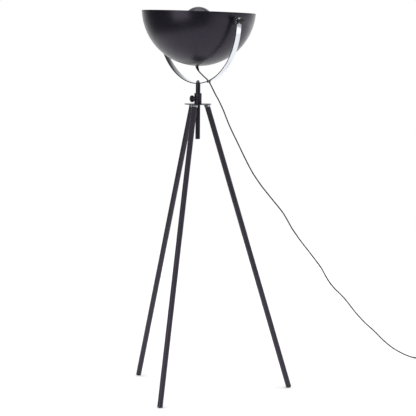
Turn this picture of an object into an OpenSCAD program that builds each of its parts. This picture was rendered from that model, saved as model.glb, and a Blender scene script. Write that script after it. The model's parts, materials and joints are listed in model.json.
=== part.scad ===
// Tripod floor lamp: a bowl shade tilts in a flat steel yoke, on a pole that
// slides in the sleeve of a three-legged stand. The mains lead hangs free.

/* [Tripod] */
// Outer diameter of a leg tube
leg_d = 22; // [18:1:26]
// Lean of the legs from the vertical, in degrees
leg_angle = 16.8; // [14:0.2:19]
// Radius at which the leg axes meet the hub plate
leg_ring_r = 36.5; // [34:0.5:40]
// Height of the hub plate's underside
hub_z = 1173.5; // [1000:0.5:1300]
// Diameter of the hub plate
plate_d = 110; // [104:1:130]
// Thickness of the hub plate
plate_t = 3; // [2:0.5:5]
// Height of the sleeve on the hub plate
sleeve_h = 42.5; // [36:0.5:60]
// Outer diameter of the sleeve
sleeve_d = 30; // [28:1:34]

/* [Pole] */
// Outer diameter of the sliding pole
pole_d = 19; // [16:1:20]
// Height of the pole's lower end at rest
pole_low_z = 1033; // [980:1:1060]

/* [Yoke] */
// Radius of the yoke's middle line
yoke_r = 253; // [250:1:262]
// Width of the yoke strip
yoke_w = 23; // [20:1:26]
// Thickness of the yoke strip
yoke_t = 4; // [3:0.5:4]
// Height of the shade's tilt axis
pivot_z = 1512; // [1450:1:1600]

/* [Shade] */
// Outer radius of the bowl's sphere
bowl_r = 230.4; // [222:0.2:232]
// Wall of the bowl
bowl_t = 1; // [0.8:0.1:2]
// Height of the rim above the tilt axis
rim_up = 34; // [28:1:38]
// Height of the sphere's centre above the rim
bowl_rise = 13; // [8:1:16]
// Tilt of the bowl at rest, in degrees
tilt = 1.9; // [0:0.1:4]
// Outer radius of the bulb shield
shield_r = 65; // [60:1:70]

/* [Lead] */
// Diameter of the mains lead
lead_d = 5.2; // [5:0.1:5.4]

/* [Hidden] */
$fn = 72;

// The pole axis stands off the origin, so that the lamp's box is centred on it
pole_x = 62;
leg_turns = [60, 180, 300];
clamp_turn = 265;
// How far down its axis a leg tube starts under the hub plate
leg_gap = 10.5;
leg_wall = 1.2;
foot_h = 6;
// Depth by which the foot's low edge is cut flat by the floor
foot_flat = 0.8;
leg_bore_r = leg_d / 2 - leg_wall;
foot_end_z = leg_d / 2 * sin(leg_angle) - foot_flat;
leg_len = (hub_z - foot_end_z) / cos(leg_angle) - leg_gap;
plate_top = hub_z + plate_t;
sleeve_top = plate_top + sleeve_h;
clamp_z = plate_top + 20.5;
yoke_low = pivot_z - yoke_r - yoke_t / 2;
pan_gap = 0.3;
washer_t = 1.5;
pole_top = yoke_low - pan_gap - washer_t;
acorn_z = yoke_low + yoke_t + pan_gap + washer_t;
// How far the pan stud runs into the acorn nut
stud_up = 5.5;
m8_r = 4;
m8_hole_r = 4.08;
m6_r = 3;
knob_r = 14;
// Rise of a knob's domed face, and the dome's radius
knob_dome = 2.5;
knob_dome_r = 25.5;
ear_r = 13.5;
ear_out = yoke_r + yoke_t / 2;
ear_in = yoke_r - yoke_t / 2;
bowl_cz = rim_up + bowl_rise;
bowl_in = bowl_r - bowl_t;
bowl_low = bowl_cz - bowl_r;
lead_r = lead_d / 2;
// Where the lead passes through the yoke, measured along the tilt axis
lead_hole_x = 68;
lead_hole_turn = asin(lead_hole_x / yoke_r);
boot_turn = 36;
boot_l = 17;
holder_z = bowl_low + 38;
shield_cz = -10;
shield_skirt = 25;
rod_ring_r = 60;
switch_at = [179, 1296];
switch_size = [78, 36];
switch_lead_z = 9;
plug_at = [249, 1222];
plug_lead_z = 6.85;
plug_l = 32;
pin_r = 2;
pin_l = 19;
// A pin's thinner shank, moulded into the plug
shank_r = 1.6;
shank_l = 12;
pin_gap = 18.6;
coil_at = [80, 1266];
coil_r = 30;
coil_turns = 3.25;
coil_pitch = 5.4;
coil_h = coil_turns * coil_pitch + lead_d;
// Where the tie stands on the coil, its width, its thickness and its underside's height
tie_turn = 225;
tie_w = 8;
tie_t = 0.8;
tie_z = 3.6;

// The route of the lead, about the pole axis, with 0.6 mm between the piece that turns with the yoke and the next
route_upper = [
    [10, -6.7, 1311], [11.8, -6.7, 1308.8], [13.8, -6.7, 1306.9], [16, -6.5, 1305.3],
    [24, -6, 1299.8], [33, -5.3, 1293.9], [42, -4.6, 1288.1], [51, -3.9, 1282.7],
    [59.6, -3.2, 1277.5], [61.9, -2.9, 1275.9], [64, -2.4, 1274], [65.9, -1.7, 1271.9],
    [67.5, -0.8, 1269.7], [68.9, 0.3, 1267.4], [69.8, 1.6, 1265.1], [70.45, 2.85, 1262.95]
];
route_run = [
    [70.55, 3.15, 1262.45], [70.8, 4.6, 1260.3], [70.8, 6.2, 1257.9], [70.1, 11, 1251.3], [69, 19, 1240.2],
    [67.8, 28.5, 1227], [66.5, 40, 1211], [64.4, 54, 1194], [63, 82, 1150], [61, 118, 1084],
    [60, 166, 1008], [60, 206, 944], [59, 248, 884], [60, 296, 828], [61, 350, 774],
    [60, 408, 718], [58, 440, 680], [57, 470, 640], [57, 516, 588], [58, 578, 524],
    [57, 634, 466], [56, 656, 438], [55, 680, 406], [55, 714, 370], [56, 770, 324],
    [55, 808, 288], [54, 850, 246], [53, 908, 196], [54, 966, 152], [53, 998, 126],
    [52, 1034, 98], [51, 1082, 66], [50, 1140, 36], [50, 1190, 15], [50, 1222, 6],
    [50, 1240, 3], [50, 1254, 2.8]
];
route_tail = [
    [84, 1296, 20], [96, 1296, 18.6], [108, 1296, 15], [120, 1296, 11.2], [131, 1296, 9], [140, 1296, 9]
];
route_end = [
    [218, 1296, 9], [225, 1296, 8.6], [234.2, 1294.2, 6.6], [242, 1289, 4.4], [247.2, 1281.2, 3.2],
    [249, 1272, 3], [249, 1264, 3.8], [249, 1256.5, 5.4], [249, 1250, 6.6], [249, 1245, 6.85]
];

// A closed tube swept along route points, with rings square to the route
function unit(v) = v / norm(v);
function way(p, i) = unit(p[min(i + 1, len(p) - 1)] - p[max(i - 1, 0)]);
function side(w) = unit(cross(w, abs(w[2]) > 0.9 ? [0, 1, 0] : [0, 0, 1]));
function ring_of(c, u, v, r, n) = [for (k = [0:n - 1]) c + r * (cos(360 * k / n) * u + sin(360 * k / n) * v)];
// Each ring's first direction is the last one, laid square to the new way
function carry(p, i) = i == 0 ? side(way(p, 0)) :
    let (b = carry(p, i - 1), w = way(p, i)) unit(b - (b * w) * w);
module tube_along(p, r, n = 8) {
    m = len(p);
    points = [for (i = [0:m - 1]) let (u = carry(p, i), w = way(p, i))
        each ring_of(p[i], u, cross(w, u), r, n)];
    walls = [for (i = [0:m - 2], k = [0:n - 1])
        [i * n + k, (i + 1) * n + k, (i + 1) * n + (k + 1) % n, i * n + (k + 1) % n]];
    caps = [[for (k = [0:n - 1]) k], [for (k = [n - 1:-1:0]) (m - 1) * n + k]];
    polyhedron(points, concat(walls, caps), convexity = 10);
}

// A rectangle with round corners, from its lowest corner
module round_rect(w, h, r) {
    translate([r, 0]) square([w - 2 * r, h]);
    translate([0, r]) square([w, h - 2 * r]);
    for (x = [r, w - r], y = [r, h - r])
        translate([x, y]) circle(r);
}
module ring(r_out, r_in, h) {
    difference() {
        cylinder(r = r_out, h = h);
        translate([0, 0, -1]) cylinder(r = r_in, h = h + 2);
    }
}
module hex(af, h) {
    cylinder(r = af / 2 / cos(30), h = h, $fn = 6);
}
module hex_nut(af, hole_r, h) {
    difference() {
        hex(af, h);
        translate([0, 0, -1]) cylinder(r = hole_r, h = h + 2);
    }
}
// A hand knob along +Z: a narrow neck, then a disc with round edges and a domed face
module hand_knob(neck_r, neck_h, disc_h, bore_r) {
    rotate_extrude()
        difference() {
            union() {
                square([neck_r, neck_h + 1]);
                translate([0, neck_h]) square([knob_r - 3, disc_h]);
                translate([knob_r - 8, neck_h]) round_rect(8, disc_h, 3);
                intersection() {
                    translate([0, neck_h + disc_h + knob_dome - knob_dome_r]) circle(knob_dome_r);
                    translate([0, neck_h + 1]) square([knob_r - 1, disc_h + knob_dome]);
                }
            }
            translate([-1, -1]) square([bore_r + 1, neck_h + disc_h - 2]);
        }
}

module on_pole() {
    translate([pole_x, 0, 0]) children();
}
// The frame of leg number i: origin at the top of its tube, +Z down the leg
module on_leg(i) {
    on_pole() rotate([0, 0, leg_turns[i]]) translate([leg_ring_r, 0, hub_z])
        rotate([0, 180 - leg_angle, 0]) translate([0, 0, leg_gap]) children();
}
module on_clamp() {
    on_pole() rotate([0, 0, clamp_turn]) translate([0, 0, clamp_z]) rotate([0, 90, 0]) children();
}
// The shade's frame: origin on the tilt axis, +Z out of the bowl
module on_shade() {
    on_pole() translate([0, 0, pivot_z]) rotate([-tilt, 0, 0]) children();
}
// A pivot's frame: +Z out along the tilt axis, to the right or to the left
module on_pivot(s) {
    rotate([0, 90 * s, 0]) children();
}
module both_pivots() {
    on_shade() for (s = [1, -1]) on_pivot(s) children();
}
module bowl_ball(r) {
    translate([0, 0, bowl_cz]) sphere(r = r, $fn = 300);
}

// Hub of the tripod
module hub_plate() {
    color("#26252b") on_pole() difference() {
        translate([0, 0, hub_z]) rotate_extrude() difference() {
            union() {
                square([plate_d / 2 - 2, plate_t]);
                translate([plate_d / 2 - 8, 0]) round_rect(8, plate_t, 1);
            }
            square([pole_d / 2 + 0.6, plate_t]);
        }
    }
}
module hub_sleeve() {
    color("#3a3740") on_pole() difference() {
        translate([0, 0, plate_top]) ring(sleeve_d / 2, sleeve_d / 2 - 2.5, sleeve_h);
        rotate([0, 0, clamp_turn]) translate([0, 0, clamp_z]) rotate([0, 90, 0]) cylinder(r = 3.3, h = 40);
    }
}
module clamp_boss() {
    color("#3a3740") difference() {
        on_clamp() ring(8.5, 3.1, 20);
        on_pole() translate([0, 0, plate_top]) cylinder(r = sleeve_d / 2, h = sleeve_h);
    }
}
module sleeve_bush() {
    color("#303030") difference() {
        on_pole() translate([0, 0, plate_top]) ring(sleeve_d / 2 - 2.5, pole_d / 2 + 0.05, sleeve_h);
        on_clamp() cylinder(r = 3.3, h = 40);
    }
}

// Legs
module leg_sockets() {
    color("silver") for (i = [0:2]) intersection() {
        on_leg(i) translate([0, 0, -30]) union() {
            cylinder(r = leg_d / 2 + 1.5, h = 30);
            cylinder(r = 5, h = 46);
        }
        translate([0, 0, hub_z - 100]) cylinder(r = 300, h = 100);
    }
}
module leg_inserts() {
    color("#8d8d90") for (i = [0:2]) on_leg(i) translate([0, 0, 0.3]) ring(leg_bore_r, 5.1, 20);
}
module leg_tube(i) {
    color("#3a3740") on_leg(i) ring(leg_d / 2, leg_bore_r, leg_len - foot_h);
}
module foot_cap(i) {
    color("#1b1b1d") intersection() {
        on_leg(i) translate([0, 0, leg_len - foot_h]) union() {
            rotate_extrude() union() {
                square([leg_d / 2 - 2, foot_h]);
                square([leg_d / 2, foot_h - 1.2]);
                translate([leg_d / 2 - 6, foot_h - 3.4]) round_rect(6, 3.4, 1.2);
            }
            translate([0, 0, -16]) cylinder(r = leg_bore_r, h = 16);
        }
        cylinder(r = 700, h = 100);
    }
}

// Height clamp
module clamp_knob() {
    color("#161618") on_clamp() translate([0, 0, 20.3]) hand_knob(8, 4, 9, m6_r);
}
module clamp_screw() {
    color("#a8a8ac") on_clamp() translate([0, 0, pole_d / 2 + 0.3]) cylinder(r = m6_r, h = 20.3);
}

// Pole
module pole_tube() {
    color("#26252b") on_pole() translate([0, 0, pole_low_z + 4])
        ring(pole_d / 2, pole_d / 2 - 1.2, pole_top - pole_low_z - 4);
}
module pole_plug() {
    color("#8d8d90") on_pole() translate([0, 0, pole_top - 24]) ring(pole_d / 2 - 1.2, m8_r, 24);
}
module pole_cap() {
    color("#161618") on_pole() translate([0, 0, pole_low_z]) {
        rotate_extrude() union() {
            square([pole_d / 2 - 1, 4]);
            translate([0, 1]) square([pole_d / 2, 3]);
            translate([pole_d / 2 - 1, 1]) circle(1);
        }
        translate([0, 0, 4]) cylinder(r = pole_d / 2 - 1.2, h = 12);
    }
}
module pan_stud() {
    color("#a8a8ac") on_pole() translate([0, 0, pole_top - 20])
        cylinder(r = m8_r, h = acorn_z + stud_up - pole_top + 20);
}
module pan_washers() {
    color("#161618") on_pole() {
        translate([0, 0, pole_top]) ring(pole_d / 2 - 0.5, m8_hole_r, washer_t);
        translate([0, 0, yoke_low + yoke_t + pan_gap]) ring(8, m8_hole_r, washer_t);
    }
}
module acorn_nut() {
    color("silver") on_pole() translate([0, 0, acorn_z]) difference() {
        union() {
            hex(14, 5);
            translate([0, 0, 4.5]) intersection() {
                translate([0, 0, -3]) sphere(r = 7.5);
                cylinder(r = 7, h = 7);
            }
        }
        translate([0, 0, -1]) cylinder(r = m8_r, h = stud_up + 1.5);
    }
}

// Yoke
module yoke_strip() {
    color("#d8d8de") on_pole() translate([0, 0, pivot_z]) difference() {
        union() {
            intersection() {
                rotate([90, 0, 0]) translate([0, 0, -yoke_w / 2])
                    rotate_extrude() translate([ear_in, 0]) round_rect(yoke_t, yoke_w, 0.6);
                translate([-400, -50, -400]) cube([800, 100, 400]);
            }
            for (s = [1, -1]) on_pivot(s) translate([0, 0, ear_in]) cylinder(r = ear_r, h = yoke_t);
        }
        for (s = [1, -1]) on_pivot(s) translate([0, 0, 200]) cylinder(r = m8_hole_r, h = 100);
        translate([0, 0, -300]) cylinder(r = m8_hole_r, h = 100);
        rotate([0, 180 - lead_hole_turn, 0]) translate([0, 0, 200]) cylinder(r = 5.6, h = 100);
    }
}
module lead_grommet() {
    color("#161618") on_pole() translate([0, 0, pivot_z]) rotate([0, 180 - lead_hole_turn, 0])
        translate([0, 0, yoke_r]) rotate_extrude() difference() {
            union() {
                translate([2, -yoke_t / 2 - 1]) square([3.5, yoke_t + 2]);
                for (z = [-yoke_t / 2 - 1.5, yoke_t / 2 + 0.1]) translate([2, z]) square([6, 1.4]);
            }
            translate([0, -20]) square([4.6, 40]);
        }
}

// Shade, with its pivots
module shade_bowl() {
    color("#1e1d22") on_shade() difference() {
        rotate_extrude() union() {
            intersection() {
                translate([0, bowl_cz]) difference() {
                    circle(bowl_r, $fn = 200);
                    circle(bowl_in, $fn = 200);
                }
                translate([0, -300]) square([400, 300 + rim_up - 2]);
            }
            translate([bowl_r - 3, rim_up - 7]) round_rect(3.2, 7, 0.8);
        }
        for (s = [1, -1]) on_pivot(s) translate([0, 0, 200]) cylinder(r = 4.3, h = 60);
        translate([0, 0, bowl_low - 10]) cylinder(r = 5.3, h = 20);
    }
}
module pivot_cups() {
    color("#161618") difference() {
        both_pivots() translate([0, 0, 210]) ring(15, 4.2, 29);
        on_shade() bowl_ball(bowl_r + 0.02);
    }
}
module pivot_spacers() {
    color("#c9c9ce") both_pivots() translate([0, 0, 239]) ring(13, 4.2, ear_in - 239 - 0.35);
}
module pivot_bolts() {
    color("#a8a8ac") both_pivots() translate([0, 0, 206]) cylinder(r = m8_r, h = ear_out + 13 - 206);
}
module saddle_washers() {
    color("#161618") intersection() {
        both_pivots() translate([0, 0, 217]) ring(12, 4.2, 14);
        on_shade() bowl_ball(bowl_in - 0.02);
    }
}
module pivot_nuts() {
    color("#b8b8bc") both_pivots() translate([0, 0, 210.5]) hex_nut(13, m8_r, 6.5);
}
module pivot_knob(s) {
    color("#161618") on_shade() on_pivot(s) translate([0, 0, ear_out + 0.35]) hand_knob(7, 12, 6.5, m8_r + 0.06);
}

// Gland and lampholder
module gland_collar() {
    color("#161618") difference() {
        on_shade() translate([0, 0, bowl_low - 4]) ring(6.6, 5, 8);
        on_shade() bowl_ball(bowl_r + 0.02);
    }
}
module lead_boot() {
    color("#1b1b1d") on_shade() translate([0, 0, bowl_low - 4]) intersection() {
        rotate([0, 180 - boot_turn, 0]) translate([0, 0, -3]) cylinder(r1 = 6, r2 = 4, h = boot_l + 3);
        translate([-20, -20, -30]) cube([40, 40, 30]);
    }
}
module holder_nipple() {
    color("#b8b8bc") on_shade() translate([0, 0, bowl_low - 4]) ring(5, 3.8, holder_z + 8 - bowl_low);
}
module nipple_nut() {
    color("#b8b8bc") on_shade() translate([0, 0, bowl_low + bowl_t + 0.2]) hex_nut(14, 5, 4);
}
module holder_stem() {
    color("#c9c9ce") on_shade() translate([0, 0, bowl_low + bowl_t + 4.2])
        ring(8, 5, holder_z - 1.5 - bowl_low - bowl_t - 4.2);
}
module shield_star() {
    color("#1e1d22") on_shade() translate([0, 0, holder_z - 1.5]) difference() {
        union() {
            cylinder(r = 16, h = 1.5);
            for (a = [0, 120, 240]) rotate([0, 0, a]) {
                translate([0, -4, 0]) cube([rod_ring_r, 8, 1.5]);
                translate([rod_ring_r, 0, 0]) cylinder(r = 4, h = 1.5);
            }
        }
        translate([0, 0, -1]) cylinder(r = 5, h = 4);
    }
}
module shield_rods() {
    color("#1e1d22") on_shade() for (a = [0, 120, 240]) rotate([0, 0, a]) difference() {
        translate([rod_ring_r, 0, holder_z]) cylinder(r = 2.5, h = shield_cz - 6 - holder_z);
        translate([0, 0, shield_cz - 14]) rotate([0, 90, 0]) cylinder(r = 1.5, h = 100);
    }
}
module shield_dome() {
    color("#1e1d22") on_shade() translate([0, 0, shield_cz]) difference() {
        rotate_extrude() {
            intersection() {
                difference() {
                    circle(shield_r);
                    circle(shield_r - 1);
                }
                square([200, 200]);
            }
            translate([shield_r - 1, -shield_skirt]) square([1, shield_skirt]);
            translate([shield_r - 1.8, -shield_skirt]) round_rect(2, 3, 0.8);
        }
        for (a = [0, 120, 240]) rotate([0, 0, a])
            translate([0, 0, -14]) rotate([0, 90, 0]) cylinder(r = 1.6, h = 100);
    }
}
module shield_screws() {
    color("#161618") on_shade() for (a = [0, 120, 240]) rotate([0, 0, a])
        translate([0, 0, shield_cz - 14]) rotate([0, 90, 0]) {
            translate([0, 0, rod_ring_r - 2]) cylinder(r = 1.5, h = shield_r - rod_ring_r + 2);
            translate([0, 0, rod_ring_r + 2.6]) ring(2.6, 1.5, shield_r - 1 - rod_ring_r - 2.75);
            translate([0, 0, shield_r]) intersection() {
                cylinder(r = 2.8, h = 1.8);
                translate([0, 0, -1.2]) sphere(r = 3.1);
            }
        }
}
module holder_cap() {
    color("#141416") on_shade() translate([0, 0, holder_z]) difference() {
        rotate_extrude() {
            translate([0, 2]) square([19.5, 16]);
            square([17.5, 4]);
            translate([17.5, 2]) circle(2);
        }
        translate([0, 0, 2.5]) cylinder(r = 17, h = 20);
        translate([0, 0, -1]) cylinder(r = 5, h = 6);
    }
}
module holder_insert() {
    color("#ece8df") on_shade() translate([0, 0, holder_z + 12]) difference() {
        cylinder(r = 16.8, h = 7);
        translate([0, 0, -1]) cylinder(r = 2, h = 9);
    }
}
module holder_contact() {
    color("#c9a54a") on_shade() translate([0, 0, holder_z + 12]) {
        cylinder(r = 1.9, h = 7);
        translate([-3, -5, 7]) cube([6, 10, 0.6]);
        translate([0, 0, 7]) cylinder(r = 2.6, h = 1.6);
    }
}
module holder_shell() {
    color("#c9a54a") on_shade() translate([0, 0, holder_z + 19]) ring(14.3, 13.7, 30);
}
module holder_skirt() {
    color("#141416") on_shade() translate([0, 0, holder_z + 18]) difference() {
        rotate_extrude() {
            difference() {
                square([19.5, 36]);
                square([14.5, 36]);
            }
            translate([14.5, 33]) square([6.5, 3]);
        }
        translate([0, 0, -1]) cylinder(r = 16.9, h = 2.1);
    }
}
module bulb_cap() {
    color("#d0d0d4") on_shade() translate([0, 0, holder_z + 21]) {
        cylinder(r = 4.5, h = 2.5);
        translate([0, 0, 2.5]) cylinder(r1 = 9, r2 = 13.2, h = 3);
        translate([0, 0, 5.5]) cylinder(r = 13.2, h = 22.5);
    }
}
module bulb_glass() {
    color("white") on_shade() translate([0, 0, holder_z + 49]) rotate_extrude()
        difference() {
            union() {
                translate([0, 48]) intersection() {
                    circle(30);
                    square([40, 40]);
                }
                intersection() {
                    translate([0, 48]) circle(30);
                    translate([0, 28]) square([40, 20]);
                }
                polygon([[0, 0], [13.2, 0], [13.2, 6], [14.6, 12], [17.6, 19], [22.4, 28], [0, 28]]);
            }
            translate([0, 48]) circle(29);
            polygon([[-1, 2], [12.2, 2], [12.2, 6], [13.6, 12], [16.6, 19], [21.4, 28.6], [-1, 28.6]]);
            translate([-50, -10]) square([50, 150]);
        }
}

// Mains lead
module lead_tube(p) {
    color("#232228") on_pole() tube_along(p, lead_r);
}
module lead_coil() {
    color("#232228") difference() {
        on_pole() translate([coil_at[0], coil_at[1], 0])
            ring(coil_r + lead_r + 0.2, coil_r - lead_r - 0.2, coil_h);
        on_tie() translate([-5, -tie_w / 2 - 0.1, tie_z - 0.1]) cube([10, tie_w + 0.2, tie_t + 0.2]);
    }
}
// The tie's frame: on the coil's middle line, +X away from its centre
module on_tie() {
    on_pole() translate([coil_at[0], coil_at[1], 0])
        rotate([0, 0, tie_turn]) translate([coil_r, 0, 0]) children();
}
// A strap round the coil's turns, under the lowest where it has risen off the floor
module coil_tie() {
    color("#161618") on_tie() translate([0, tie_w / 2, tie_z])
        rotate([90, 0, 0]) linear_extrude(tie_w) difference() {
        translate([-4.2, 0]) square([8.4, coil_h - tie_z + tie_t + 0.1]);
        translate([-4.2 + tie_t, tie_t]) square([8.4 - 2 * tie_t, coil_h - tie_z - tie_t + 0.1]);
    }
}
module stadium(l, w, r) {
    for (x = [-l / 2 + r, l / 2 - r], y = [-w / 2 + r, w / 2 - r]) translate([x, y]) circle(r);
    square([l - 2 * r, w], center = true);
    square([l, w - 2 * r], center = true);
}
module on_switch() {
    on_pole() translate([switch_at[0], switch_at[1], 0]) children();
}
module switch_base() {
    color("#161618") on_switch() difference() {
        linear_extrude(9) stadium(switch_size[0], switch_size[1], 10);
        translate([0, 0, 2]) linear_extrude(9) stadium(switch_size[0] - 4, switch_size[1] - 4, 8);
    }
}
module switch_cover() {
    color("#161618") on_switch() translate([0, 0, 9]) difference() {
        union() {
            linear_extrude(10) stadium(switch_size[0], switch_size[1], 10);
            linear_extrude(13) stadium(switch_size[0] - 6, switch_size[1] - 6, 8);
        }
        translate([0, 0, -1]) linear_extrude(9) stadium(switch_size[0] - 4, switch_size[1] - 4, 8);
        cylinder(r = 10.3, h = 30);
    }
}
module switch_button() {
    color("#2a2a2e") on_switch() translate([0, 0, 15]) {
        cylinder(r = 10, h = 10);
        translate([0, 0, 10]) intersection() {
            translate([0, 0, -30]) sphere(r = 31.6);
            cylinder(r = 9, h = 3);
        }
        cylinder(r = 11.5, h = 1.7);
    }
}
// Return spring of the switch button: a helix between the contact block and the button
spring_turns = 4;
spring_route = [for (k = [0:spring_turns * 12])
    [switch_at[0] + 5 * cos(30 * k), switch_at[1] + 5 * sin(30 * k), 8.9 + 5.6 * k / (spring_turns * 12)]];
module switch_spring() {
    color("#b8b8bc") on_pole() tube_along(spring_route, 0.45, 6);
}
module switch_contacts() {
    color("#c9a54a") on_switch() translate([0, 0, 2]) {
        translate([-14, -9, 0]) cube([28, 18, 6.4]);
        for (x = [-22, 16]) translate([x, -3, 0]) cube([6, 6, 5]);
    }
}
// The plug's frame: its lead comes in along -Y, and its pins point that way
module on_plug() {
    on_pole() translate([plug_at[0], plug_at[1], 0]) rotate([0, 0, 90]) children();
}
module on_pins() {
    on_plug() for (y = [-pin_gap / 2, pin_gap / 2])
        translate([-plug_l, y, plug_lead_z]) rotate([0, -90, 0]) children();
}
module plug_body() {
    color("#161618") difference() {
        on_plug() {
            translate([-plug_l / 2, 0, 0]) linear_extrude(2 * plug_lead_z) stadium(plug_l, 35.2, 5);
            translate([-1, 0, plug_lead_z]) rotate([0, 90, 0]) cylinder(r1 = 6.4, r2 = 3.6, h = 24);
        }
        on_pins() translate([0, 0, -shank_l]) cylinder(r = shank_r, h = shank_l + 1);
    }
}
module plug_pins() {
    color("#d0d0d4") on_pins() {
        translate([0, 0, -shank_l]) cylinder(r = shank_r, h = shank_l + 1);
        cylinder(r = pin_r, h = pin_l - 1.2);
        translate([0, 0, pin_l - 1.2]) cylinder(r1 = pin_r, r2 = pin_r - 0.8, h = 1.2);
    }
}

hub_plate();
hub_sleeve();
clamp_boss();
sleeve_bush();
leg_sockets();
leg_inserts();
leg_tube(0);  // leg_tube_1
leg_tube(1);  // leg_tube_2
leg_tube(2);  // leg_tube_3
foot_cap(0);  // foot_cap_1
foot_cap(1);  // foot_cap_2
foot_cap(2);  // foot_cap_3
clamp_knob();
clamp_screw();
pole_tube();
pole_plug();
pole_cap();
pan_stud();
pan_washers();
acorn_nut();
yoke_strip();
lead_grommet();
shade_bowl();
pivot_cups();
pivot_spacers();
pivot_bolts();
saddle_washers();
pivot_nuts();
pivot_knob(1);  // pivot_knob_right
pivot_knob(-1);  // pivot_knob_left
gland_collar();
lead_boot();
holder_nipple();
nipple_nut();
holder_stem();
holder_cap();
holder_insert();
holder_contact();
holder_shell();
holder_skirt();
bulb_cap();
bulb_glass();
shield_star();
shield_rods();
shield_dome();
shield_screws();
lead_tube(route_upper);  // lead_upper
lead_tube(route_run);  // lead_run
lead_coil();
coil_tie();
lead_tube(route_tail);  // lead_tail
lead_tube(route_end);  // lead_end
switch_base();
switch_cover();
switch_button();
switch_spring();
switch_contacts();
plug_body();
plug_pins();
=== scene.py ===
"""Looks of the tripod floor lamp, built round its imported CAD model.

The scene is in metres. Sizes, outlines and points are given in millimetres and scaled by MM.
"""

import json
import math

import bpy
from mathutils import Matrix, Vector


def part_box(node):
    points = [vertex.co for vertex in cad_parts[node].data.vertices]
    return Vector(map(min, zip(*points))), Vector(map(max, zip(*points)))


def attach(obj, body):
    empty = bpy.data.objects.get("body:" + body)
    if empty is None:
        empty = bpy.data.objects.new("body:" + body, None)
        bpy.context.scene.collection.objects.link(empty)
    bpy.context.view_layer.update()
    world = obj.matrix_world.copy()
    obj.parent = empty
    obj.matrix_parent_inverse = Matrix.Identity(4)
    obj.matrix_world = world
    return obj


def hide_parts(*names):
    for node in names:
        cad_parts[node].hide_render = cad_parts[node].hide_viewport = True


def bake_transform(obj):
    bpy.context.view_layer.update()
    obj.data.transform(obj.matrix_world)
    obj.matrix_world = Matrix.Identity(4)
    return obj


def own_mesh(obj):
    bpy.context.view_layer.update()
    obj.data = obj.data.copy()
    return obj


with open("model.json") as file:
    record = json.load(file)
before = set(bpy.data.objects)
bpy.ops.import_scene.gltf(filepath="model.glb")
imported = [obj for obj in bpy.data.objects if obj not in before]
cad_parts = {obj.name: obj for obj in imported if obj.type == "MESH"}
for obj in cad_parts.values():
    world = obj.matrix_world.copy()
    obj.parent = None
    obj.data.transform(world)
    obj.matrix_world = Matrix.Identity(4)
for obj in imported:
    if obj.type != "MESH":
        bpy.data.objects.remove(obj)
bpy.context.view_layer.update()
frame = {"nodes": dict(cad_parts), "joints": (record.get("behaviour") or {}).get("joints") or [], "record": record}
MM = 0.001


def joint(name):
    """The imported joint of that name."""
    return next(j for j in frame["joints"] if j["name"] == name)


def middle(node):
    """The centre of a CAD node's box."""
    low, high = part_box(node)
    return (low + high) / 2


# Places that the frame gives
POLE = Vector((middle("pole_tube").x, 0, 0))
PIVOT = Vector(joint("shade_tilt")["pos_m"])
PLATE_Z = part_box("hub_plate")[0].z

# The bowl's own axes: they start on the pivot's axis, with +Z out of its mouth, which leans a little
TILT = math.radians(1.9)
SHADE = Matrix.Translation(PIVOT) @ Matrix.Rotation(-TILT, 4, "X")

# Sizes shared with the CAD model, in millimetres, with heights on the bowl counted from the pivot's axis
BOWL_R = 230.4
BOWL_WALL = 1.0
BOWL_RISE = 13.0
RIM_UP = 34.0
HEM_H = 7.0
HEM_T = 3.0
BOWL_CENTRE = RIM_UP + BOWL_RISE
BOWL_LOW = BOWL_CENTRE - BOWL_R

SHIELD_R = 65.0
SHIELD_UP = -10.0
SHIELD_SKIRT = 25.0
SHIELD_HEM = 3.2

# The pivots, where a name with OUT or IN is a distance from the bowl's middle
PIVOT_BORE_R = 4.3
CUP_R = 15.0
CUP_IN = 222.0
CUP_OUT = 239.0
SPACER_R = 13.0
SPACER_OUT = 250.65
PIVOT_KNOB_OUT = 255.35

YOKE_R = 253.0
YOKE_W = 23.0
YOKE_T = 4.0
EAR_R = 13.5

# The hand knobs, and where the clamp knob starts and points, in millimetres and degrees round the pole
KNOB_R = 14.0
KNOB_FACE_R = 25.5
KNOB_FACE_UP = 2.5
CLAMP_KNOB_OUT = 20.3
CLAMP_TURN = 265.0

PLATE_R = 55.0
PLATE_T = 3.0
PLATE_BORE_R = 10.1

# The lead, the rubber boot that it leaves the bowl through, and its coil on the floor
LEAD_R = 2.6
LEAD_HOLE_X = 68.0
BOOT_R = 5.9
BOOT_L = 17.0
BOOT_RIBS = 5
BOOT_LEAN = 36.0
COIL_AT = (80.0, 1266.0)
COIL_R = 30.0
COIL_TURNS = 3.25
COIL_PITCH = 5.4

SWITCH_AT = (179.0, 1296.0)
SWITCH_SIZE = (78.0, 36.0)
SWITCH_CORNER = 10.0
BUTTON_HOLE_R = 10.3
SPRING_R = 5.0
SPRING_WIRE_R = 0.45
SPRING_TURNS = 4
SPRING_LOW = 8.9
SPRING_H = 5.6

PLUG_AT = (249.0, 1222.0)
PLUG_L = 32.0
PLUG_W = 35.2
PLUG_UP = 6.85

# The camera, with its place measured from the foot of the pole's axis. Angles are in degrees
CAMERA_AZIMUTH = 50.744
CAMERA_PITCH = -5.977
CAMERA_ROLL = 0.466
CAMERA_LENS = 164.07
CAMERA_PLACE = (5.9767, -4.8271, 1.5562)

# The studio: a round white floor that reaches further behind the lamp and to its right
FLOOR_R = 4.0
FLOOR_SHIFT = 1.5

# The world's glow by direction
BACKDROP_AZIMUTH = 44.0
BACKDROP_PITCH = -20.0
BACKDROP_GLOW = 1.36
ROOM_GLOW = 0.13
SKY_GLOW = 0.27
FAR_FLOOR_GLOW = 0.8
SIDE_WAY = (0.778, 0.628, 0)
SIDE_GLOW = 0.5

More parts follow.
